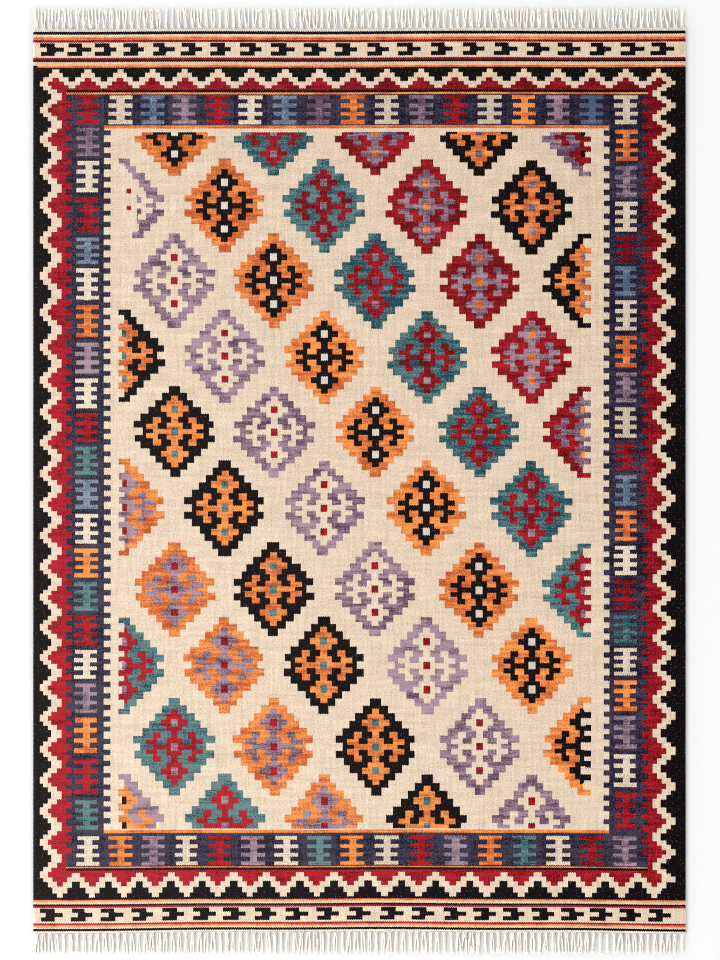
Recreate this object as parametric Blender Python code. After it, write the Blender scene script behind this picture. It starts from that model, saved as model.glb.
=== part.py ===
"""A flat-woven wool kilim rug lying flat, its cotton warp ends left as a fringe at both ends.

Metres, +Z up. The origin is on the floor under the middle of the rug. +X runs across the rug and
+Y runs along it, from the foot end to the head end.
"""

import math

import bmesh
import bpy

# The whole rug, from the tassel tips at the foot to those at the head
RUG_LENGTH = 2.320

# The cloth: one flat weave with straight selvedges and slightly wandering woven ends
CLOTH_WIDTH = 1.600
CLOTH_THICKNESS = 0.004

# The fringe: warps gathered into tassels, hanging from a narrow band at the cloth's end
FRINGE_LENGTH = 0.051
TASSELS = 96
BAND_DEPTH = 0.006
TASSEL_ROOT_WIDTH = 0.0055
TASSEL_TIP_WIDTH = 0.0075
TASSEL_THICKNESS = 0.003
TASSEL_SWAY = 0.0028
TASSEL_SHORTFALL = 0.0035

# Space left between the cloth and each fringe
GAP = 0.0003

# How a woven end wanders: distance it draws in, waves across the width, phase in turns
HEAD_WAVES = (
    (0.0016, 0.5, 0.50),
    (0.0007, 2.5, 0.10),
)
FOOT_WAVES = (
    (0.0055, 0.5, 0.00),
    (0.0006, 3.5, 0.35),
)

WOOL_COLOUR = (0.56, 0.36, 0.25, 1.0)
COTTON_COLOUR = (0.84, 0.81, 0.74, 1.0)


def drawn_in(x, waves):
    """How far a woven end is drawn in towards the middle of the rug, at this place across it."""
    across = x / CLOTH_WIDTH + 0.5
    return sum(depth * math.sin(2 * math.pi * (count * across + phase)) for depth, count, phase in waves)


def cloth_end(x, waves):
    """Distance from the middle of the rug to the cloth's woven end."""
    return RUG_LENGTH / 2 - FRINGE_LENGTH - drawn_in(x, waves)


def across_the_width():
    """Places across the rug, from left to right: the two selvedges and every gap between tassels."""
    pitch = CLOTH_WIDTH / TASSELS
    return [-CLOTH_WIDTH / 2 + pitch * i for i in range(TASSELS + 1)]


def cloth_outline():
    """The cloth's edge seen from above, anticlockwise from the left of the foot end."""
    foot = [(x, -cloth_end(x, FOOT_WAVES)) for x in across_the_width()]
    head = [(x, cloth_end(x, HEAD_WAVES)) for x in across_the_width()]
    return foot + head[::-1]


def tassel_corners(index, waves):
    """The four corners of one tassel, from its left root to its right root."""
    middle = CLOTH_WIDTH * ((index + 0.5) / TASSELS - 0.5)
    sway = TASSEL_SWAY * math.sin(2.4 * index) * math.cos(0.37 * index)
    shortfall = TASSEL_SHORTFALL * math.sin(1.7 * index) ** 2
    root = cloth_end(middle, waves) + GAP + BAND_DEPTH
    tip = RUG_LENGTH / 2 - shortfall
    if index in (TASSELS // 4, 3 * TASSELS // 4):
        tip = RUG_LENGTH / 2
    if index in (0, TASSELS - 1):
        sway = 0.0
    return [
        (middle - TASSEL_ROOT_WIDTH / 2, root),
        (middle + sway - TASSEL_TIP_WIDTH / 2, tip),
        (middle + sway + TASSEL_TIP_WIDTH / 2, tip),
        (middle + TASSEL_ROOT_WIDTH / 2, root),
    ]


def fringe_outline(waves):
    """The comb of one fringe, drawn as if it were at the head end, seen from above, clockwise."""
    teeth = [corner for index in range(TASSELS) for corner in tassel_corners(index, waves)]
    inner_edge = [(x, cloth_end(x, waves) + GAP) for x in across_the_width()]
    return teeth + inner_edge[::-1]


def make_material(name, colour, roughness):
    """A plain cloth finish."""
    material = bpy.data.materials.new(name)
    material.use_nodes = True
    shader = material.node_tree.nodes["Principled BSDF"]
    shader.inputs["Base Color"].default_value = colour
    shader.inputs["Roughness"].default_value = roughness
    shader.inputs["Metallic"].default_value = 0.0
    return material


def make_slab(name, outline, thickness, material):
    """A flat solid with this outline, its underside on the floor."""
    shape = bmesh.new()
    underside = shape.faces.new([shape.verts.new((x, y, 0.0)) for x, y in outline])
    raised = bmesh.ops.extrude_face_region(shape, geom=[underside])["geom"]
    top = [item for item in raised if isinstance(item, bmesh.types.BMVert)]
    bmesh.ops.translate(shape, verts=top, vec=(0.0, 0.0, thickness))
    bmesh.ops.recalc_face_normals(shape, faces=shape.faces)
    mesh = bpy.data.meshes.new(name)
    shape.to_mesh(mesh)
    shape.free()
    mesh.materials.append(material)
    slab = bpy.data.objects.new(name, mesh)
    bpy.context.collection.objects.link(slab)


def make_rug():
    """The cloth and its two fringes."""
    wool = make_material("kilim wool", WOOL_COLOUR, 0.9)
    cotton = make_material("fringe cotton", COTTON_COLOUR, 0.85)
    make_slab("kilim_cloth", cloth_outline(), CLOTH_THICKNESS, wool)
    head = fringe_outline(HEAD_WAVES)
    foot = [(x, -y) for x, y in fringe_outline(FOOT_WAVES)]
    make_slab("fringe_head", head, TASSEL_THICKNESS, cotton)
    make_slab("fringe_foot", foot, TASSEL_THICKNESS, cotton)


for item in list(bpy.data.objects):
    bpy.data.objects.remove(item, do_unlink=True)
make_rug()
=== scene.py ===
import math

import bpy
import numpy as np
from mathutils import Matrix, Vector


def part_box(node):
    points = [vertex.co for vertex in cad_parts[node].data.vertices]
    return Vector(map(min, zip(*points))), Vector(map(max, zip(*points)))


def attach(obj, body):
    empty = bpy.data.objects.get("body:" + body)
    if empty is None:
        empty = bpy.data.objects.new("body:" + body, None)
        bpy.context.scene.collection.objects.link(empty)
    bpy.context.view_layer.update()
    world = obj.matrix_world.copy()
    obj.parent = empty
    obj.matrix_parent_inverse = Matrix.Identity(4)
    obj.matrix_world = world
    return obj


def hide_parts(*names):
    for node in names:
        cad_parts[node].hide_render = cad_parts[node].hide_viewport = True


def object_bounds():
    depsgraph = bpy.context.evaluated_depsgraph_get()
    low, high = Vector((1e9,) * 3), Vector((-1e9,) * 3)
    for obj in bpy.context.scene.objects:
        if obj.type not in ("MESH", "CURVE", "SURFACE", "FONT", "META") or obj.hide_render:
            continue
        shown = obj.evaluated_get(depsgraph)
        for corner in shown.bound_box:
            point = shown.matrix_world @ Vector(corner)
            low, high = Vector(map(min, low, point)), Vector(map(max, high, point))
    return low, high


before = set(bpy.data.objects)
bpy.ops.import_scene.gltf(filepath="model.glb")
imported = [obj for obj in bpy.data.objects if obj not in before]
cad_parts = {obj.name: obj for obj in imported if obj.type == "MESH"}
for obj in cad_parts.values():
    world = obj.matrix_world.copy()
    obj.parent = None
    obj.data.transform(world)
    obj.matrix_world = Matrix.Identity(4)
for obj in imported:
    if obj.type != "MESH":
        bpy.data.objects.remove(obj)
cad_low, cad_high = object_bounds()


# ======== Studio: floor, camera and light ========
# A plain pale floor under the rug, seen from straight above through a long lens. One broad soft light
# stands low on the weaver's left, near the foot end. The room is brightest near the floor, all round.

CAMERA_LENS = 85.0
CAMERA_SENSOR = 36.0
VIEW_LENGTH = 2.355
VIEW_CENTRE = (0.0015, 0.0025)
FLOOR_REACH = 30.0
FLOOR_GAP = 0.0002
FLOOR_WHITE = (0.83, 0.83, 0.83)
KEY_PLACE = (-7.6, -3.4, 4.2)
KEY_SIZE = 3.2
KEY_WATTS = 582.0
ROOM_LOW, ROOM_HIGH = 8.75, 0.15
ROOM_LOW_SINE = 0.55
EDGE_BLUR = 1.0


def plain_material(name, colour, roughness):
    """A matt painted surface with a faint cloudiness, so that it isn't one flat tone."""
    material = bpy.data.materials.new(name)
    material.use_nodes = True
    nodes, links = material.node_tree.nodes, material.node_tree.links
    shader = nodes["Principled BSDF"]
    shader.inputs["Roughness"].default_value = roughness
    shader.inputs["Specular IOR Level"].default_value = 0.1
    place = nodes.new("ShaderNodeTexCoord")
    cloud = nodes.new("ShaderNodeTexNoise")
    cloud.inputs["Scale"].default_value = 0.8
    tone = nodes.new("ShaderNodeMapRange")
    tone.inputs["To Min"].default_value = 0.985
    tone.inputs["To Max"].default_value = 1.0
    tint = nodes.new("ShaderNodeVectorMath")
    tint.operation = "SCALE"
    tint.inputs[0].default_value = colour
    links.new(place.outputs["Object"], cloud.inputs["Vector"])
    links.new(cloud.outputs["Fac"], tone.inputs["Value"])
    links.new(tone.outputs["Result"], tint.inputs["Scale"])
    links.new(tint.outputs["Vector"], shader.inputs["Base Color"])
    return material


floor_mesh = bpy.data.meshes.new("studio_floor")
floor_corners = [(x * FLOOR_REACH, y * FLOOR_REACH, 0.0) for x, y in ((-1, -1), (1, -1), (1, 1), (-1, 1))]
floor_mesh.from_pydata(floor_corners, [], [(0, 1, 2, 3)])
floor_mesh.materials.append(plain_material("floor_paint", FLOOR_WHITE, 0.9))
floor = bpy.data.objects.new("studio_floor", floor_mesh)
bpy.context.collection.objects.link(floor)
floor.location.z = cad_low.z - FLOOR_GAP

camera_data = bpy.data.cameras.new("camera_above")
camera_data.lens = CAMERA_LENS
camera_data.sensor_width = CAMERA_SENSOR
camera_data.clip_end = 100.0
camera = bpy.data.objects.new("camera_above", camera_data)
bpy.context.collection.objects.link(camera)
camera.location = (*VIEW_CENTRE, VIEW_LENGTH * CAMERA_LENS / CAMERA_SENSOR)
bpy.context.scene.camera = camera

key_data = bpy.data.lights.new("key_softbox", "AREA")
key_data.size = KEY_SIZE
key_data.energy = KEY_WATTS
key = bpy.data.objects.new("key_softbox", key_data)
bpy.context.collection.objects.link(key)
key.location = KEY_PLACE
key.rotation_mode = "QUATERNION"
key.rotation_quaternion = key.location.to_track_quat("Z", "Y")
key.visible_camera = False

room = bpy.data.worlds.new("pale_room")
room.use_nodes = True
room_nodes, room_links = room.node_tree.nodes, room.node_tree.links
room_nodes["Background"].inputs["Color"].default_value = (1.0, 1.0, 1.0, 1.0)
sky_way = room_nodes.new("ShaderNodeTexCoord")
sky_parts = room_nodes.new("ShaderNodeSeparateXYZ")
sky_fade = room_nodes.new("ShaderNodeMapRange")
sky_fade.interpolation_type = "SMOOTHSTEP"
sky_fade.inputs["From Max"].default_value = ROOM_LOW_SINE
sky_fade.inputs["To Min"].default_value = ROOM_LOW
sky_fade.inputs["To Max"].default_value = ROOM_HIGH
room_links.new(sky_way.outputs["Generated"], sky_parts.inputs[0])
room_links.new(sky_parts.outputs["Z"], sky_fade.inputs["Value"])
room_links.new(sky_fade.outputs["Result"], room_nodes["Background"].inputs["Strength"])
bpy.context.scene.world = room
bpy.context.scene.view_settings.view_transform = "Standard"
bpy.context.scene.cycles.filter_width = EDGE_BLUR
# leaves the stepped edges and single hairs of the weave sharp
bpy.context.scene.cycles.denoising_prefilter = "NONE"


# ======== Weaver's chart: warps, picks and yarns ========
# The rug is weft-faced tapestry: cotton warps hidden under packed wool picks, each colour turning back
# at its own edge. The chart holds the yarn at every warp and pick, and which dyed skein it came from.

WARPS = 572
PICK = 1.5
CLOTH_RUN = 2218.0
PICKS = round(CLOTH_RUN / PICK)
PAIRS = WARPS // 2
YARNS = (
    "ivory", "black", "crimson", "oxblood", "orange", "peach", "teal", "lilac", "blue", "navy", "cream",
    "cotton",
)
chart = np.zeros((PICKS, WARPS), np.int32)
skeins = np.zeros((PICKS, WARPS), np.int32)
chance = np.random.default_rng(11)
skein_dye = [0.0]


def new_skein(dye=None):
    """Another batch of yarn, its dye by chance a little lighter or deeper."""
    skein_dye.append(float(chance.normal(0.0, 0.6)) if dye is None else dye)
    return len(skein_dye) - 1


def weave(yarn, left, right, top, bottom, skein=0):
    """Weaves a block: warp pairs from the left selvedge, millimetres down from the head end."""
    picks = slice(max(0, round(top / PICK)), max(0, round(bottom / PICK)))
    warps = slice(max(0, round(2 * left)), max(0, round(2 * right)))
    chart[picks, warps] = YARNS.index(yarn)
    skeins[picks, warps] = skein


def spaced(first, last, count, drift):
    """Places from first to last, their steps growing and shrinking as the list drift does."""
    along = np.linspace(0, 1, count - 1)
    steps = np.interp(along, np.linspace(0, 1, len(drift)), drift)
    return first + (last - first) * np.concatenate([[0], np.cumsum(steps)]) / steps.sum()


# ======== End bands ========
# Each end starts with narrow stripes, a few picks of one yarn after another, round a plain ivory band
# that carries a row of small black comb motifs, all pointing the same way.

HEAD_STRIPES = (   # yarn, height in mm, from the head end inwards
    ("cotton", 6.3), ("black", 6.6), ("ivory", 4.5), ("peach", 3.2), ("orange", 6.2), ("crimson", 6.0),
    ("ivory", 37.1), ("oxblood", 7.0), ("black", 4.3), ("ivory", 4.5), ("peach", 4.4), ("orange", 5.1),
)
FOOT_STRIPES = (   # yarn, height in mm, from the foot end inwards
    ("cotton", 4.2), ("black", 5.1), ("ivory", 3.2), ("peach", 2.9), ("orange", 3.1), ("crimson", 4.6),
    ("ivory", 38.3), ("crimson", 4.2), ("black", 5.0), ("ivory", 4.1), ("peach", 3.1), ("orange", 2.8),
)
COMB_MOTIF = (   # left and right in warp pairs, top and bottom as shares of the band
    (0.0, 6.4, 0.07, 0.36),
    (3.2, 6.5, 0.30, 0.68),
    (0.0, 6.5, 0.61, 0.90),
    (5.8, 9.8, 0.35, 0.62),
)
HEAD_COMB_TOP, HEAD_COMB_HEIGHT = 32.1, 37.8
FOOT_COMB_TOP, FOOT_COMB_HEIGHT = CLOTH_RUN - 61.4, 36.5
HEAD_COMBS = spaced(3.0, 271.2, 21, (27.5, 28, 29, 32, 31.5, 32, 32, 31.5, 31))
FOOT_COMBS = spaced(3.0, 269.6, 21, (30.5, 30.5, 31, 31, 32, 32, 29, 29, 29))
NOTCH_WIDTH, NOTCH_HEIGHT = 1.9, 5.0


def stripes(table, start, inwards):
    """Weaves the stripes one after another and returns where they stop."""
    place = start
    for yarn, height in table:
        weave(yarn, 0, PAIRS, *sorted((place, place + inwards * height)), new_skein())
        place += inwards * height
    return place


def comb_motifs(places, top, height):
    """A row of comb motifs, some of their edges a warp out."""
    for place in places:
        for left, right, upper, lower in COMB_MOTIF:
            nudge = 0.5 * chance.integers(-1, 2, 2) * (chance.random(2) < 0.4)
            start, stop = place + left + nudge[0], place + right + nudge[1]
            weave("black", start, stop, top + upper * height, top + lower * height)


border_top = stripes(HEAD_STRIPES, 0.0, 1)
border_bottom = stripes(FOOT_STRIPES, CLOTH_RUN, -1)
comb_motifs(HEAD_COMBS, HEAD_COMB_TOP, HEAD_COMB_HEIGHT)
comb_motifs(FOOT_COMBS, FOOT_COMB_TOP, FOOT_COMB_HEIGHT)
# the head end's orange stripe starts at the left selvedge with a turn of black
weave("black", 0.0, NOTCH_WIDTH, border_top - NOTCH_HEIGHT, border_top)


# ======== Stepped border ========
# A zigzag of ivory runs round the rug between a black outer ground and a crimson inner one. It climbs
# in steps, and its tips drift a little apart and together down the sides, as hand weaving does.

H_BORDER_LEFT, H_BORDER_RIGHT = 14.5, 269.5
H_BORDER_TOP, H_BORDER_BOTTOM = 149.6, 2066.0
LEFT_TIPS = spaced(134, 2075, 26, (65, 79, 85, 90, 81, 76, 76, 76, 73, 74, 76, 76, 79))
RIGHT_TIPS = spaced(131, 2087, 27, (57, 63, 69, 73, 78, 78, 82, 81, 78, 71, 74, 87, 85, 67))
HEAD_TIPS = spaced(10.0, 274.4, 19, (32, 32, 33.6, 34, 34.1, 34.2, 34, 33.3))
FOOT_TIPS = spaced(11.7, 272.2, 19, (14.2, 13.7, 13.5, 14.5, 14.9, 14.9, 15.1, 14.8, 14.9, 14.1))
# Steps from a tip to a valley: share of the half repeat, depth in warp pairs (sides) or share (ends)
LEFT_BLACK = ((0.22, 3.0), (0.48, 4.6), (0.77, 6.4), (1.0, 8.2))
LEFT_CRIMSON = ((0.17, 6.4), (0.44, 8.2), (0.74, 10.4), (1.0, 12.4))
RIGHT_BLACK = ((0.22, 4.4), (0.48, 6.5), (0.77, 8.6), (1.0, 10.8))
RIGHT_CRIMSON = ((0.17, 8.7), (0.44, 10.6), (0.74, 12.6), (1.0, 14.6))
END_BLACK = ((0.19, 0.08), (0.44, 0.23), (0.77, 0.42), (1.0, 0.63))
END_CRIMSON = ((0.20, 0.46), (0.48, 0.61), (0.78, 0.78), (1.0, 0.93))


def zigzag_depth(places, tips, steps):
    """How deep the stepped edge lies at each place along a side."""
    nearest = np.abs(places[:, None] - tips[None, :]).argmin(1)
    gaps = np.diff(tips)
    before = np.concatenate([gaps[:1], gaps])[nearest] / 2
    after = np.concatenate([gaps, gaps[-1:]])[nearest] / 2
    offset = places - tips[nearest]
    share = np.where(offset < 0, -offset / before, offset / after)
    depth = np.full(len(places), steps[-1][1])
    for reach, level in reversed(steps[:-1]):
        depth = np.where(share < reach, level, depth)
    return depth


down = (np.arange(PICKS) + 0.5) * PICK
across = (np.arange(WARPS) + 0.5) / 2
head_depth = H_BORDER_TOP - border_top
foot_depth = border_bottom - H_BORDER_BOTTOM
from_left, from_right = across[None, :], (PAIRS - across)[None, :]
from_head, from_foot = (down - border_top)[:, None], (border_bottom - down)[:, None]
outside = (
    (from_left < zigzag_depth(down, LEFT_TIPS, LEFT_BLACK)[:, None])
    | (from_right < zigzag_depth(down, RIGHT_TIPS, RIGHT_BLACK)[:, None])
    | (from_head < head_depth * zigzag_depth(across, HEAD_TIPS, END_BLACK)[None, :])
    | (from_foot < foot_depth * zigzag_depth(across, FOOT_TIPS, END_BLACK)[None, :])
)
inside = (
    (from_left > zigzag_depth(down, LEFT_TIPS, LEFT_CRIMSON)[:, None])
    & (from_right > zigzag_depth(down, RIGHT_TIPS, RIGHT_CRIMSON)[:, None])
    & (from_head > head_depth * zigzag_depth(across, HEAD_TIPS, END_CRIMSON)[None, :])
    & (from_foot > foot_depth * zigzag_depth(across, FOOT_TIPS, END_CRIMSON)[None, :])
)
border = (from_head > 0) & (from_foot > 0)
chart[border & outside] = YARNS.index("black")
chart[border & inside] = YARNS.index("crimson")
chart[border & ~outside & ~inside] = YARNS.index("ivory")
skeins[np.broadcast_to(border, skeins.shape)] = 0


# ======== H border ========
# Inside the zigzag a navy border carries a ladder of H motifs, no two neighbours of one colour, with thin
# black and orange lines at the ends. Short crimson teeth reach into its long edges from outside, and its
# own navy teeth reach into the ivory field.

FIELD_LEFT, FIELD_RIGHT = 31.0, 252.6
FIELD_TOP, FIELD_BOTTOM = 244.6, 1966.0
H_GROUND_TOP, H_GROUND_BOTTOM = 161.2, 2056.2
FIELD_LINE_ABOVE, FIELD_LINE_BELOW = 6.9, 8.3
END_LINES = (   # thin outlines at the two ends: yarn, top and bottom in mm
    ("black", H_BORDER_TOP, 155.5), ("orange", 155.5, H_GROUND_TOP),
    ("orange", H_GROUND_BOTTOM, 2060.0), ("black", 2060.0, H_BORDER_BOTTOM),
)
EDGE_TEETH = (   # yarn, root and tip in warp pairs, top and bottom in mm, how many, share of the pitch
    ("crimson", H_BORDER_LEFT, 17.0, 176.0, 2040.0, 66, 0.5),
    ("crimson", H_BORDER_RIGHT, 267.0, 173.0, 2040.0, 66, 0.5),
    ("navy", FIELD_LEFT, 34.0, FIELD_TOP + 4, FIELD_BOTTOM, 62, 0.46),
    ("navy", FIELD_RIGHT, 250.0, FIELD_TOP + 4, FIELD_BOTTOM, 60, 0.46),
)
IVORY_GROUND_DYE = -1.1
RUNGS = 4
RUNG_SHARE, RUNG_PITCH = 0.135, 0.288   # of the motif's height
STEM_LEFT, STEM_RIGHT = 0.37, 0.67   # of the motif's width
MOTIF_SHARE, CELL_LEAD = 0.86, 0.07   # of the pitch down a side
CELL_REACH, MOTIF_REACH, CELL_MARGIN = 7.3, 5.2, 3.0   # along an end: warp pairs, warp pairs, mm
LETTER_YARN = dict(I="cream", O="orange", L="lilac", R="crimson", B="blue", T="teal")
# Down each side, from beside the field's top edge: yarn letter, then millimetres to the next motif
LEFT_LADDER = (
    "L80 I90 R98 B75 I90 O93 L89 I85 R83 T80 B84 I85 O81 T81 R85 I82 L85 O101 R102 T84"
)
RIGHT_LADDER = (
    "O89 L88 I85 R74 B83 I87 O90 L84 I87 R78 B88 O86 I84 R87 T81 I80 O87 L94 I94 R102"
)
LADDERS_DOWN = (   # letters and pitches, motif's left, cell's left and right, width, start, lean
    (LEFT_LADDER, 19.1, H_BORDER_LEFT, FIELD_LEFT, 10.1, 243.4, 1.0),
    (RIGHT_LADDER, 255.0, FIELD_RIGHT, H_BORDER_RIGHT, 9.8, 247.8, 0.3),
)
HEAD_LADDER, FOOT_LADDER = "RIBLRIBLOILRIOLBI", "IOLIRLITOIRLOTIRL"
HEAD_MIDDLES = spaced(24.0, 259.9, 17, (31.4, 31.4, 32.8, 33.7, 33.2, 33.4, 33.9, 32.9, 33.5))
FOOT_MIDDLES = spaced(24.0, 259.3, 17, (32.5, 33, 33.5, 33, 34.5, 35, 34, 33))
HEAD_LADDER_TOP, HEAD_LADDER_HEIGHT = 163.2, 70.2
FOOT_LADDER_TOP, FOOT_LADDER_HEIGHT = 1981.2, 73.0


def aitch(letter, left, top, width, height):
    """One H motif: four rungs on an upright, on a navy ground of its own skein."""
    yarn, skein = LETTER_YARN[letter], new_skein()
    for rung in range(RUNGS):
        upper = top + height * rung * RUNG_PITCH
        short = 0.5 * (chance.random(2) < 0.3)
        weave(yarn, left + short[0], left + width - short[1], upper, upper + RUNG_SHARE * height, skein)
    weave(yarn, left + STEM_LEFT * width, left + STEM_RIGHT * width, top, top + height, skein)


def navy_cell(letter, left, right, top, bottom):
    """The ground round one motif, deeper and more purple under the ivory ones."""
    weave("navy", left, right, top, bottom, new_skein(IVORY_GROUND_DYE if letter == "I" else None))


def ladder_down(letters, left, cell_left, cell_right, width, start, lean):
    """A column of H motifs down one side, leaning a little to the left towards the foot."""
    top = start
    for entry in letters.split():
        letter, pitch = entry[0], float(entry[1:])
        navy_cell(letter, cell_left, cell_right, top - CELL_LEAD * pitch, top + (1 - CELL_LEAD) * pitch)
        leaning = lean * math.sin(math.pi * (top / CLOTH_RUN) ** 2)
        aitch(letter, left - leaning, top, width, MOTIF_SHARE * pitch)
        top += pitch


def ladder_across(letters, middles, top, height):
    """A row of H motifs along one end."""
    for letter, middle in zip(letters, middles):
        cell = (middle - CELL_REACH, middle + CELL_REACH, top - CELL_MARGIN, top + height + CELL_MARGIN)
        navy_cell(letter, *cell)
    for letter, middle in zip(letters, middles):
        aitch(letter, middle - MOTIF_REACH, top, 2 * MOTIF_REACH, height)


def teeth(yarn, root, tip, top, bottom, count, share):
    """Short teeth of one yarn reaching sideways into the next colour."""
    places = np.linspace(top, bottom, count)
    pitch = places[1] - places[0]
    for place in places[:-1] + chance.uniform(-0.07, 0.07, count - 1) * pitch:
        reach = tip + 0.25 * chance.integers(-1, 2)
        weave(yarn, min(root, reach), max(root, reach), place, place + share * pitch)


weave("navy", H_BORDER_LEFT, H_BORDER_RIGHT, H_GROUND_TOP, H_GROUND_BOTTOM)
for ladder in LADDERS_DOWN:
    ladder_down(*ladder)
ladder_across(HEAD_LADDER, HEAD_MIDDLES, HEAD_LADDER_TOP, HEAD_LADDER_HEIGHT)
ladder_across(FOOT_LADDER, FOOT_MIDDLES, FOOT_LADDER_TOP, FOOT_LADDER_HEIGHT)
for yarn, top, bottom in END_LINES:
    weave(yarn, H_BORDER_LEFT, H_BORDER_RIGHT, top, bottom, new_skein())
weave("orange", FIELD_LEFT, FIELD_RIGHT, FIELD_TOP - FIELD_LINE_ABOVE, FIELD_TOP)
weave("orange", FIELD_LEFT, FIELD_RIGHT, FIELD_BOTTOM, FIELD_BOTTOM + FIELD_LINE_BELOW)
weave("ivory", FIELD_LEFT, FIELD_RIGHT, FIELD_TOP, FIELD_BOTTOM)
for row_of_teeth in EDGE_TEETH:
    teeth(*row_of_teeth)


# ======== Medallions ========
# The ivory field is filled with stepped medallions in slanting lines of one colouring, every second row
# set half a step aside. Where a line meets the side of the field, its medallion is cut in half.

MEDALLION_ROWS = (   # centre in mm from the head end, at the left and at the right, then height in mm
    (254, 255, 212), (433, 438, 231), (618, 619, 233), (803, 807, 228), (988, 990, 222),
    (1174, 1178, 235), (1374, 1377, 232), (1562, 1562, 238), (1763, 1761, 240), (1957, 1961, 258),
)
MEDALLION_COLUMNS = spaced(40.2, 241.2, 10, (21.9, 21.7, 22.3, 22.8, 22.9))
LAST_COLUMN = len(MEDALLION_COLUMNS) - 1
OUTLINE_STEPS = (2.5, 5.5, 8.5, 11.5, 14.5, 17.5, 14.5, 17.5, 14.5, 11.5, 8.5, 5.5, 2.5)
HALF_STEPS = len(OUTLINE_STEPS) / 2
FIGURE = (   # a quarter of the figure: left and right in warp pairs, top and bottom in steps
    (7.5, 9.5, 0.0, 2.0), (6.0, 9.5, 1.18, 2.0), (9.5, 12.5, 0.31, 1.0), (0.0, 9.5, 0.0, 0.37),
    (0.0, 3.5, 0.0, 1.19), (0.0, 1.5, 1.19, 2.1), (0.0, 3.5, 2.1, 4.38), (0.0, 6.0, 2.8, 3.64),
    (0.0, 1.5, 4.38, 5.07),
)
EYE_STEPS = (-3.21, 0.0, 3.21)
EYE_REACH, EYE_HALF_HEIGHT = 1.5, 0.5
CUT_LEFT, CUT_RIGHT = 37.3, 244.7
CUT_REACH, CUT_HALF_HEIGHT = 9, 5.8   # hollow of a half medallion: warp pairs, steps
CUT_SPINE, CUT_SPINE_HALF_HEIGHT = 0.4, 4.9
CUT_TEETH = (0.95, 2.4, 4.15)
CUT_EYE_REACH = 1.0
FIELD_START, FIELD_STOP = FIELD_TOP + 9.5, FIELD_BOTTOM - 2.5
# Colouring of each slanting line, from the upper right to the lower left: outline, figure, eyes
LINE_COLOURS = (
    ("lilac", "crimson", "black"), ("black", "orange", "lilac"), ("crimson", "lilac", "orange"),
    ("teal", "crimson", "lilac"), ("orange", "black", "cotton"), ("lilac", "ivory", "crimson"),
    ("black", "orange", "teal"), ("orange", "lilac", "crimson"), ("teal", "crimson", "lilac"),
    ("lilac", "orange", "black"),
)
# How much the dye of the outline changes from step to step
STEP_DYE = dict(lilac=0.8, orange=0.3, teal=0.3, crimson=0.4, black=0.2)


def medallion(middle, centre, height, colours, cut):
    """One stepped medallion with its hooked figure; cut is left or right for a half one."""
    step = height / len(OUTLINE_STEPS)
    outline, figure, eye = colours
    own_skeins = {yarn: new_skein() for yarn in colours if yarn != "ivory"}
    west = CUT_LEFT if cut == "left" else middle - 99
    east = CUT_RIGHT if cut == "right" else middle + 99

    def part(yarn, left, right, upper, lower):
        left, right = max(middle + left, west), min(middle + right, east)
        top, bottom = max(centre + upper * step, FIELD_START), min(centre + lower * step, FIELD_STOP)
        if right > left and bottom > top:
            weave(yarn, left, right, top, bottom, own_skeins.get(yarn, 0))

    whole_dye = skein_dye[own_skeins[outline]]
    for row, reach in enumerate(OUTLINE_STEPS):
        nudge = 0.5 * chance.integers(-1, 2, 2) * (chance.random(2) < 0.6)
        for left, right in ((nudge[0] - reach, 0.0), (0.0, nudge[1] + reach)):
            own_skeins[outline] = new_skein(whole_dye + float(chance.normal(0.0, STEP_DYE[outline])))
            part(outline, left, right, row - HALF_STEPS, row - HALF_STEPS + 1)
    for left, right, upper, lower in FIGURE:
        for side in (-1, 1):
            for end in (-1, 1):
                part(figure, *sorted((side * left, side * right)), *sorted((end * upper, end * lower)))
    if cut:
        edge = -1 if cut == "left" else 1
        hollow = sorted((0.0, edge * CUT_REACH))
        spine = sorted((0.0, edge * CUT_SPINE))
        part("ivory", *hollow, -CUT_HALF_HEIGHT, CUT_HALF_HEIGHT)
        part(figure, *spine, -CUT_SPINE_HALF_HEIGHT, CUT_SPINE_HALF_HEIGHT)
        for offset in [end * place for place in CUT_TEETH for end in (-1, 1)]:
            half_height = chance.uniform(0.34, 0.46)
            part(figure, *hollow, offset - half_height, offset + half_height)
        for end in (-1, 1):
            part(outline, *hollow, *sorted((end * CUT_HALF_HEIGHT, end * HALF_STEPS)))
        eye = "ivory" if eye == "cotton" else eye
    eye_reach = CUT_EYE_REACH if cut else EYE_REACH
    for place in EYE_STEPS:
        part(eye, -eye_reach, eye_reach, place - EYE_HALF_HEIGHT, place + EYE_HALF_HEIGHT)


for row, (left_centre, right_centre, height) in enumerate(MEDALLION_ROWS):
    for column, middle in enumerate(MEDALLION_COLUMNS):
        if (row + column) % 2 == 1:
            centre = left_centre + (right_centre - left_centre) * column / LAST_COLUMN
            line = (row + LAST_COLUMN - column) // 2
            cut = {0: "left", LAST_COLUMN: "right"}.get(column)
            medallion(middle, centre, height, LINE_COLOURS[line], cut)

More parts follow.
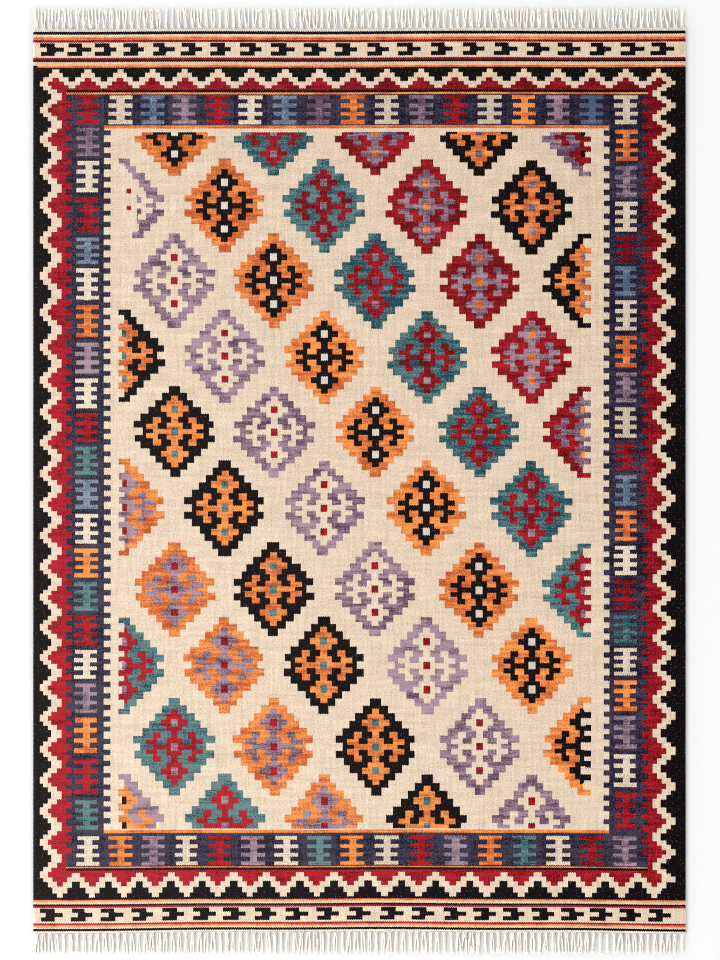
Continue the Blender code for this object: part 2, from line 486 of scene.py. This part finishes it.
# The first half medallion on the left was woven plainer: its outer band only, and two small eyes.
# Its hollow, as warp pairs to the right of the medallion's middle at each step
PLAIN_HOLLOW = {1: 0.3, 2: 3.3, 3: 6.3, 4: 8.5, 9: 6.5, 10: 3.5, 11: 9.0, 12: 9.0}
PLAIN_MIDDLE, PLAIN_HALF_HEIGHT = 5.5, 2.5
PLAIN_EYES = ((-2.3, -1.7), (0.0, 0.6))   # top and bottom in steps
PLAIN_EYE_LEFT, PLAIN_EYE_WIDTH = 0.9, 2.0
centre, _, height = MEDALLION_ROWS[1]
middle = MEDALLION_COLUMNS[0]
step = height / len(OUTLINE_STEPS)
for row, reach in PLAIN_HOLLOW.items():
    top = centre + (row - HALF_STEPS) * step
    weave("ivory", CUT_LEFT, middle + reach, top, top + step)
half_height = PLAIN_HALF_HEIGHT * step
weave("ivory", CUT_LEFT, middle + PLAIN_MIDDLE, centre - half_height, centre + half_height)
for upper, lower in PLAIN_EYES:
    left = middle + PLAIN_EYE_LEFT
    weave("crimson", left, left + PLAIN_EYE_WIDTH, centre + upper * step, centre + lower * step)


# ======== Wool ========
# The picks are hand-spun wool, dyed in small batches. The colour runs lighter and deeper along each
# pick, single hairs of other tones show in it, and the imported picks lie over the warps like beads.

ACROSS, ALONG = 1.6, 2.2   # the cloth in metres, for the painted light and painted sheen that slope over it
WARP_SPACING = ACROSS / WARPS
PALE_LINT, DARK_HAIR = (0.42, 0.34, 0.30), (0.16, 0.10, 0.075)
# Deep tone, light tone, streaks, heather, painted light (tone rising to the left and the foot, where the
# light falls), fleck colour, flecks
WOOL_TONES = dict(
    ivory=((0.54, 0.405, 0.29), (0.81, 0.668, 0.525), 0.30, 0.46, 0.22, DARK_HAIR, 0.08),
    cream=((0.44, 0.345, 0.25), (0.79, 0.66, 0.535), 0.30, 0.80, 0.25, DARK_HAIR, 0.08),
    cotton=((0.50, 0.45, 0.39), (0.73, 0.67, 0.60), 0.25, 0.60, 0.00, DARK_HAIR, 0.03),
    black=((0.0004, 0.0002, 0.0003), (0.0042, 0.0018, 0.0024), 0.40, 1.00, 0.20, PALE_LINT, 0.050),
    crimson=((0.10, 0.0010, 0.0030), (0.42, 0.0108, 0.0205), 0.75, 0.75, 0.45, PALE_LINT, 0.02),
    oxblood=((0.07, 0.002, 0.006), (0.34, 0.013, 0.023), 0.60, 0.60, 0.50, PALE_LINT, 0.02),
    orange=((0.44, 0.076, 0.022), (0.85, 0.292, 0.070), 1.00, 0.60, 0.20, DARK_HAIR, 0.06),
    peach=((0.58, 0.22, 0.11), (0.86, 0.46, 0.27), 0.50, 0.60, 0.00, DARK_HAIR, 0.05),
    teal=((0.0068, 0.052, 0.074), (0.118, 0.222, 0.222), 1.00, 0.85, 0.50, PALE_LINT, 0.03),
    lilac=((0.090, 0.047, 0.083), (0.365, 0.249, 0.298), 1.00, 0.62, 0.30, PALE_LINT, 0.03),
    blue=((0.050, 0.082, 0.145), (0.235, 0.280, 0.345), 0.80, 0.80, 0.60, PALE_LINT, 0.03),
    navy=((0.0056, 0.0040, 0.0135), (0.053, 0.044, 0.077), 0.90, 1.15, 0.35, PALE_LINT, 0.03),
)
# Painted sheen: a pale haze mixed into the colour at the left and the foot, where the light falls
PAINTED_SHEEN = (0.55, 0.50, 0.47)
PAINTED_SHEEN_LEFT, PAINTED_SHEEN_FOOT = 0.009, 0.010
FLECK_STRENGTH = 5.0
DYE_SPREAD = 0.20


def linked_node(tree, kind, inputs=(), **settings):
    """Adds a node; inputs are its sockets by name or number, each a value or another node's socket."""
    node = tree.nodes.new("ShaderNode" + kind)
    for name, value in settings.items():
        setattr(node, name, value)
    for socket, value in dict(inputs).items():
        if isinstance(value, bpy.types.NodeSocket):
            tree.links.new(value, node.inputs[socket])
        else:
            node.inputs[socket].default_value = value
    return node


def noise(tree, place, across_mm, along_mm, detail=1.0):
    """Soft random tone whose grains are across_mm wide and along_mm tall."""
    stretched = linked_node(
        tree, "Mapping", {"Vector": place, "Scale": (1000 / across_mm, 1000 / along_mm, 1.0)}
    )
    grains = linked_node(
        tree, "TexNoise", {"Vector": stretched.outputs[0], "Scale": 1.0, "Detail": detail},
        noise_dimensions="2D",
    )
    return grains.outputs["Fac"]


def maths(tree, operation, *values):
    return linked_node(tree, "Math", dict(enumerate(values)), operation=operation).outputs[0]


def mixed(tree, share, first, second):
    """The colour between first and second, each a colour or a socket."""
    mix = tree.nodes.new("ShaderNodeMix")
    mix.data_type = "RGBA"
    factor, start, end = (mix.inputs[i] for i in (0, 6, 7))
    tree.links.new(share, factor)
    for socket, colour in ((start, first), (end, second)):
        if isinstance(colour, bpy.types.NodeSocket):
            tree.links.new(colour, socket)
        else:
            socket.default_value = colour
    return mix.outputs[2]


def wool(name, deep, light, streaks, heather, painted_light_slope, fleck, flecks):
    """Dyed wool in packed picks."""
    material = bpy.data.materials.new("wool_" + name)
    material.use_nodes = True
    tree = material.node_tree
    shader = tree.nodes["Principled BSDF"]
    shader.inputs["Roughness"].default_value = 0.95
    shader.inputs["Specular IOR Level"].default_value = 0.06
    place = linked_node(tree, "TexCoord").outputs["Object"]
    skein = linked_node(tree, "Attribute", attribute_name="skein_dye").outputs["Fac"]
    split = linked_node(tree, "SeparateXYZ", {0: place})
    # tone of the yarn
    hairs = noise(tree, place, 4.2, 3.1, 1.0)
    tone = maths(tree, "MULTIPLY_ADD", skein, DYE_SPREAD, 0.5)
    # painted light: the tone rises towards the left and the foot, the side the key light falls from
    tone = maths(tree, "MULTIPLY_ADD", split.outputs[0], -painted_light_slope / ACROSS, tone)
    tone = maths(tree, "MULTIPLY_ADD", split.outputs[1], -painted_light_slope / ALONG, tone)
    for grain, gain in (
        (noise(tree, place, 90.0, 9.0, 2.0), 1.9 * streaks),
        (noise(tree, place, 45.0, 30.0, 1.0), 1.2 * streaks),
        (hairs, 2.8 * heather),
        (noise(tree, place, 5.6, 80.0), 0.5),
    ):
        tone = maths(tree, "MULTIPLY_ADD", maths(tree, "SUBTRACT", grain, 0.5), gain, tone)
    dyed = mixed(tree, tone, (*deep, 1.0), (*light, 1.0))
    # stray hairs of other wool, and a painted sheen: a pale haze mixed in at the left, most of it towards
    # the foot, where the light falls
    stray = linked_node(
        tree, "MapRange",
        {
            "Value": noise(tree, place, 5.0, 3.4, 1.0), "From Min": 0.68, "From Max": 0.82,
            "To Max": flecks * FLECK_STRENGTH,
        },
    )
    dyed = mixed(tree, stray.outputs[0], dyed, (*fleck, 1.0))
    leftwards = maths(tree, "MULTIPLY_ADD", split.outputs[0], -1 / ACROSS, 0.5)
    footwards = maths(
        tree, "MULTIPLY_ADD", split.outputs[1], -PAINTED_SHEEN_FOOT / ALONG, PAINTED_SHEEN_LEFT + PAINTED_SHEEN_FOOT / 2
    )
    painted_sheen_share = maths(tree, "MULTIPLY", leftwards, footwards)
    tree.links.new(mixed(tree, painted_sheen_share, dyed, (*PAINTED_SHEEN, 1.0)), shader.inputs["Base Color"])
    # relief: beads of the picks over the warps, hairs, and broad rises in the cloth
    warp_wave = maths(tree, "SINE", maths(tree, "MULTIPLY", split.outputs[0], math.pi / WARP_SPACING))
    pick_wave = maths(tree, "SINE", maths(tree, "MULTIPLY", split.outputs[1], 1000 * math.pi / PICK))
    crossings = maths(tree, "MULTIPLY", warp_wave, pick_wave)
    beads = maths(tree, "MULTIPLY_ADD", crossings, 0.4, maths(tree, "ABSOLUTE", warp_wave))
    height = maths(tree, "MULTIPLY_ADD", hairs, 1.0, maths(tree, "MULTIPLY", beads, 0.45))
    height = maths(tree, "MULTIPLY_ADD", noise(tree, place, 120.0, 90.0), 2.2, height)
    bump = linked_node(tree, "Bump", {"Height": height, "Strength": 0.7, "Distance": 0.0008})
    tree.links.new(bump.outputs[0], shader.inputs["Normal"])
    return material


wools = [wool(name, *WOOL_TONES[name]) for name in YARNS]


# ======== Cloth ========
# The woven cloth itself: every patch of the chart is a patch of the cloth, meeting its neighbours at the
# same turns of yarn. Ends wander as woven, selvedges are rounded, and the back shows the same design.

cloth_low, cloth_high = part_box("kilim_cloth")
CLOTH_WIDTH = cloth_high.x - cloth_low.x
CLOTH_THICKNESS = cloth_high.z - cloth_low.z
FRINGE_LENGTH = 0.051
CLOTH_LENGTH = cad_high.y - cad_low.y - 2 * FRINGE_LENGTH
HEAD_WAVES = ((0.0011, 0.5, 0.25), (0.0007, 2.5, 0.10))   # depth drawn in, waves across, phase in turns
FOOT_WAVES = ((0.0055, 0.5, 0.00), (0.0006, 3.5, 0.35))
HEAD_FADE, FOOT_FADE = 8, 6   # how soon those waves die away from the ends
WANDER_ALONG, WANDER_ACROSS = (0.0014, 1.7, 2.3), (0.0012, 0.9, 2.1)   # depth, waves across, waves along
EDGE_SHARES = (0.5, 0.87, 0.97)
EDGE_RINGS = len(EDGE_SHARES)
PATCH_WARPS, PATCH_PICKS = 22, 60
SELVEDGE_LOOP = 4
SKEIN_LIMIT = 10000
BAKE_MARGIN = 1.004
SELVEDGE_BULGE = 0.0004
TOOTH = 0.0010
WOBBLE = 0.00022


def cloth_end(x, waves):
    """How far from the rug's middle the cloth ends, at x across it."""
    turns = x / CLOTH_WIDTH + 0.5
    drawn_in = sum(depth * math.sin(2 * math.pi * (count * turns + phase)) for depth, count, phase in waves)
    return CLOTH_LENGTH / 2 - drawn_in


def wander(depth, waves_across, waves_along, side, share):
    """How far a line strays, at side across and share along the cloth."""
    return depth * math.sin(2 * math.pi * (waves_across * side + waves_along * share))


def ring_of(warp, pick):
    """How many warps or picks a crossing lies in from the nearest edge."""
    return min(warp, WARPS - warp, pick, PICKS - pick)


# Crossings where one yarn meets another along a pick; peach melts into the orange beside it
seen = np.where(chart == YARNS.index("peach"), YARNS.index("orange"), chart)
changes = seen[1:] != seen[:-1]
meetings = np.zeros((PICKS + 1, WARPS + 1), bool)
meetings[1:PICKS, :-1] = changes
meetings[1:PICKS, 1:] |= changes
meetings[:EDGE_RINGS] = meetings[-EDGE_RINGS:] = False
meetings[:, :EDGE_RINGS] = meetings[:, -EDGE_RINGS:] = False


def cloth_point(warp, pick, face):
    """Where a warp and a pick cross: lines wander, and on the face two yarns meet in small teeth."""
    x = cloth_low.x + CLOTH_WIDTH * warp / WARPS
    side, share = warp / WARPS, pick / PICKS
    y = CLOTH_LENGTH * (0.5 - share)
    y += (cloth_end(x, HEAD_WAVES) - CLOTH_LENGTH / 2) * (1 - share) ** HEAD_FADE
    y -= (cloth_end(x, FOOT_WAVES) - CLOTH_LENGTH / 2) * share ** FOOT_FADE
    y += math.sin(math.pi * share) * wander(*WANDER_ALONG, side, share)
    x += math.sin(math.pi * side) * wander(*WANDER_ACROSS, side, share)
    if face == "top" and meetings[pick, warp]:
        y += TOOTH * (1 if warp % 2 else -1)
    if warp in (0, WARPS) and pick % (2 * SELVEDGE_LOOP) == 0:
        x -= math.copysign(SELVEDGE_BULGE, x)
    return x, y


def patches(code):
    """The cloth as upright patches of one code: left, right, top, bottom and the code."""
    last_warps = range(WARPS + 1 - EDGE_RINGS, WARPS + 1)
    fixed = {*range(EDGE_RINGS), *range(PATCH_WARPS, last_warps[0], PATCH_WARPS), *last_warps}
    edge_picks = {*range(EDGE_RINGS), *range(PICKS + 1 - EDGE_RINGS, PICKS + 1)}
    begun = {}
    for pick in range(PICKS + 1):
        stretches = set()
        if pick < PICKS:
            turns = sorted(fixed | {int(turn) + 1 for turn in np.flatnonzero(np.diff(code[pick]))})
            stretches = {(a, b, int(code[pick, a])) for a, b in zip(turns, turns[1:])}
        for stretch in list(begun):
            limit = SELVEDGE_LOOP if stretch[0] == 0 or stretch[1] == WARPS else PATCH_PICKS
            tall = pick - begun[stretch] >= limit
            if stretch not in stretches or tall or pick in edge_picks:
                yield stretch[0], stretch[1], begun.pop(stretch), pick, stretch[2]
        for stretch in stretches:
            begun.setdefault(stretch, pick)


def cloth_mesh():
    """Both faces of the cloth, sharing their outer edge. On the face the yarns meet in small teeth."""
    corners, points, slips = {}, [], {}

    def corner(warp, pick, face):
        ring = ring_of(warp, pick)
        name = (warp, pick, face if ring else "edge")
        if name not in corners:
            x, y = cloth_point(warp, pick, face)
            if ring:
                slip = slips.setdefault((warp, pick), chance.uniform(-WOBBLE, WOBBLE, 2))
                x, y = x + slip[0], y + slip[1]
            share = EDGE_SHARES[ring] if ring < EDGE_RINGS else 1.0
            corners[name] = len(points)
            points.append((x, y, cloth_low.z + CLOTH_THICKNESS * (share if face == "top" else 1 - share)))
        return corners[name]

    faces, yarns, dyes = [], [], []
    for face in ("top", "back"):
        # the back shows the yarns, and its batches of dye run together
        pieces = sorted(patches(chart * SKEIN_LIMIT + (skeins if face == "top" else 0)))
        across_pick, down_warp = {}, {}
        for left, right, top, bottom, _ in pieces:
            for warp in (left, right):
                for pick in (top, bottom):
                    across_pick.setdefault(pick, set()).add(warp)
                    down_warp.setdefault(warp, set()).add(pick)
        down_warp = {warp: np.array(sorted(picks)) for warp, picks in down_warp.items()}
        if face == "top":
            for pick in across_pick:
                across_pick[pick].update(np.flatnonzero(meetings[pick]).tolist())
            # a patch one pick tall takes the same points above and below, so its edges can't cross
            for left, right, top, bottom, _ in pieces:
                if bottom - top == 1 and meetings[[top, bottom], left:right + 1].any(1).all():
                    shared = across_pick[top] | across_pick[bottom]
                    shared = shared.intersection(range(left, right + 1))
                    across_pick[top] |= shared
                    across_pick[bottom] |= shared
        across_pick = {pick: np.array(sorted(warps)) for pick, warps in across_pick.items()}
        for left, right, top, bottom, code in pieces:
            rows = {}
            for pick in (top, bottom):
                first, last = np.searchsorted(across_pick[pick], (left, right + 1))
                rows[pick] = across_pick[pick][first:last].tolist()
            sides = {}
            for warp in (left, right):
                first, last = np.searchsorted(down_warp[warp], (top + 1, bottom))
                sides[warp] = down_warp[warp][first:last].tolist()
            loop = [(warp, top) for warp in rows[top][::-1]]
            loop += [(left, pick) for pick in sides[left]]
            loop += [(warp, bottom) for warp in rows[bottom]]
            loop += [(right, pick) for pick in sides[right][::-1]]
            loop = loop if face == "top" else loop[::-1]
            faces.append([corner(warp, pick, face) for warp, pick in loop])
            yarns.append(code // SKEIN_LIMIT)
            dyes.append(skein_dye[code % SKEIN_LIMIT])
    mesh = bpy.data.meshes.new("kilim_cloth_woven")
    mesh.from_pydata(points, [], faces)
    mesh.polygons.foreach_set("material_index", yarns)
    mesh.attributes.new("skein_dye", "FLOAT", "FACE").data.foreach_set("value", dyes)
    return mesh


woven_mesh = cloth_mesh()
for material in wools:
    woven_mesh.materials.append(material)
bake_map = woven_mesh.uv_layers.new(name="OFBake")
loop_points = np.empty(len(woven_mesh.loops), np.int32)
woven_mesh.loops.foreach_get("vertex_index", loop_points)
flat_places = np.array([vertex.co[:2] for vertex in woven_mesh.vertices])[loop_points]
bake_places = flat_places / (BAKE_MARGIN * CLOTH_LENGTH) + 0.5
bake_map.uv.foreach_set("vector", bake_places.astype(np.float32).ravel())
woven = bpy.data.objects.new("kilim_cloth_woven", woven_mesh)
bpy.context.collection.objects.link(woven)
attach(woven, "root")
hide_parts("kilim_cloth")


# ======== Fringe ========
# The cotton warps run on past each end and are gathered six by six into slim loose tassels. Each tassel
# is six two-ply cords that leave the cloth side by side, draw together, part into two thin locks and end
# a little unevenly.

TASSELS = 96
CORDS = 6
CORD_RADIUS = 0.00095
CORD_SIDES = 6
CORD_RINGS = 13
PLY_TWIST = 5.0
PLY_GROOVE = 0.2
GATHER_SHARE = 0.2
BUNDLE_RADIUS = 0.0012
TASSEL_SPLIT = 0.0034
BUNDLE_HEIGHT = 0.0034
TASSEL_SWAY = 0.0030
TASSEL_SHORTFALL = 0.004
ROOT_DEPTH = 0.0015
ROOT_SPREAD = 0.94
TIP_STAGGER = 0.0030
CORD_RIPPLE = 0.0008
FULL_TASSELS = (24, 72)   # these two reach the full length of the rug


def smooth(share):
    share = min(max(share, 0.0), 1.0)
    return share * share * (3 - 2 * share)


def cord_path(tassel, cord, end, waves, sway, spread, split):
    """Points down one cord, from inside the cloth's edge to its tip on the floor."""
    pitch = CLOTH_WIDTH / TASSELS
    middle = CLOTH_WIDTH * ((tassel + 0.5) / TASSELS - 0.5)
    root_x = middle + pitch * ((cord + 0.5) / CORDS - 0.5) * ROOT_SPREAD
    start = cloth_end(root_x, waves) - ROOT_DEPTH
    shortfall = TASSEL_SHORTFALL * math.sin(1.7 * tassel) ** 2 * (tassel not in FULL_TASSELS)
    tip = cad_high.y - shortfall - TIP_STAGGER * ((cord * 7 + tassel * 3) % 5) / 5
    turn = 2 * math.pi * (cord / CORDS + 0.13 * tassel)
    path = []
    for ring in range(CORD_RINGS):
        share = ring / (CORD_RINGS - 1)
        gathered = smooth(share / GATHER_SHARE)
        angle = turn + 1.9 * share
        reach = BUNDLE_RADIUS + spread * smooth((share - 0.35) * 1.6)
        bundle_x = middle + sway * share ** 1.3 + reach * math.cos(angle)
        bundle_x += split * smooth(share * 1.6) * (1 if cord >= CORDS / 2 else -1)
        bundle_x += CORD_RIPPLE * math.sin(5.1 * share + tassel * 1.9 + cord)
        x = root_x + (bundle_x - root_x) * gathered
        y = start + (tip - start) * share
        stacked = 0.5 * (1 + math.sin(angle)) * (1 - 0.35 * share)
        lie = CORD_RADIUS * 1.02 + (BUNDLE_HEIGHT - 2.1 * CORD_RADIUS) * stacked
        z = cloth_low.z + 0.5 * CLOTH_THICKNESS + (lie - 0.5 * CLOTH_THICKNESS) * smooth(share / 0.3)
        path.append((x, end * y, z))
    return path


def fringe(name, end, waves):
    """All the tassels of one end as one mesh, each cord's tone in the attribute cord_tint."""
    points, faces, tints = [], [], []
    for tassel in range(TASSELS):
        tassel_tint = chance.normal(0.0, 0.6)
        sway = TASSEL_SWAY * chance.uniform(-1, 1) * (0 < tassel < TASSELS - 1)
        spread = BUNDLE_RADIUS * chance.choice((0.3, 0.7, 1.5))
        split = TASSEL_SPLIT * chance.choice((0.25, 0.7, 1.0, 1.2))
        for cord in range(CORDS):
            path = cord_path(tassel, cord, end, waves, sway, spread, split)
            tint = tassel_tint + chance.normal(0.0, 0.4)
            first = len(points)
            for ring, (x, y, z) in enumerate(path):
                share = ring / (CORD_RINGS - 1)
                girth = CORD_RADIUS * (1 - 0.45 * smooth((share - 0.9) * 10))
                for side in range(CORD_SIDES):
                    angle = 2 * math.pi * side / CORD_SIDES
                    lobe = 1 - PLY_GROOVE * abs(math.sin(angle + PLY_TWIST * math.pi * share))
                    dx, dz = girth * lobe * math.cos(angle), girth * lobe * math.sin(angle)
                    points.append((x + dx, y, z + dz))
            for ring in range(CORD_RINGS - 1):
                for side in range(CORD_SIDES):
                    a = first + ring * CORD_SIDES + side
                    b = first + ring * CORD_SIDES + (side + 1) % CORD_SIDES
                    quad = (a, b, b + CORD_SIDES, a + CORD_SIDES)
                    faces.append(quad if end < 0 else quad[::-1])
            for ring, flip in ((0, end > 0), (CORD_RINGS - 1, end < 0)):
                cap = [first + ring * CORD_SIDES + side for side in range(CORD_SIDES)]
                faces.append(cap if flip else cap[::-1])
            tints.extend([tint] * ((CORD_RINGS - 1) * CORD_SIDES + 2))
    mesh = bpy.data.meshes.new(name)
    mesh.from_pydata(points, [], faces)
    mesh.attributes.new("cord_tint", "FLOAT", "FACE").data.foreach_set("value", tints)
    mesh.polygons.foreach_set("use_smooth", [True] * len(faces))
    mesh.materials.append(cotton)
    tassels = bpy.data.objects.new(name, mesh)
    bpy.context.collection.objects.link(tassels)
    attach(tassels, "root")
    return tassels


def cotton_material():
    """Undyed cotton, off-white with creamier cords among the rest."""
    material = bpy.data.materials.new("cotton_warp")
    material.use_nodes = True
    tree = material.node_tree
    shader = tree.nodes["Principled BSDF"]
    shader.inputs["Roughness"].default_value = 0.8
    shader.inputs["Specular IOR Level"].default_value = 0.25
    shader.inputs["Sheen Weight"].default_value = 0.15
    place = linked_node(tree, "TexCoord").outputs["Object"]
    tint = linked_node(tree, "Attribute", attribute_name="cord_tint").outputs["Fac"]
    fibres = noise(tree, place, 1.1, 9.0, 2.0)
    tone = maths(tree, "MULTIPLY_ADD", tint, 0.22, maths(tree, "MULTIPLY_ADD", fibres, 0.5, 0.35))
    ramp = linked_node(tree, "ValToRGB", {"Fac": tone})
    ramp.color_ramp.elements[0].color = (0.78, 0.68, 0.54, 1.0)
    ramp.color_ramp.elements[0].position = 0.02
    ramp.color_ramp.elements[1].color = (0.88, 0.83, 0.75, 1.0)
    ramp.color_ramp.elements[1].position = 0.40
    tree.links.new(ramp.outputs["Color"], shader.inputs["Base Color"])
    bump = linked_node(tree, "Bump", {"Height": fibres, "Strength": 0.5, "Distance": 0.0003})
    tree.links.new(bump.outputs[0], shader.inputs["Normal"])
    return material


cotton = cotton_material()
head_tassels = fringe("fringe_head_tassels", 1, HEAD_WAVES)
foot_tassels = fringe("fringe_foot_tassels", -1, FOOT_WAVES)
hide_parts("fringe_head")
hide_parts("fringe_foot")
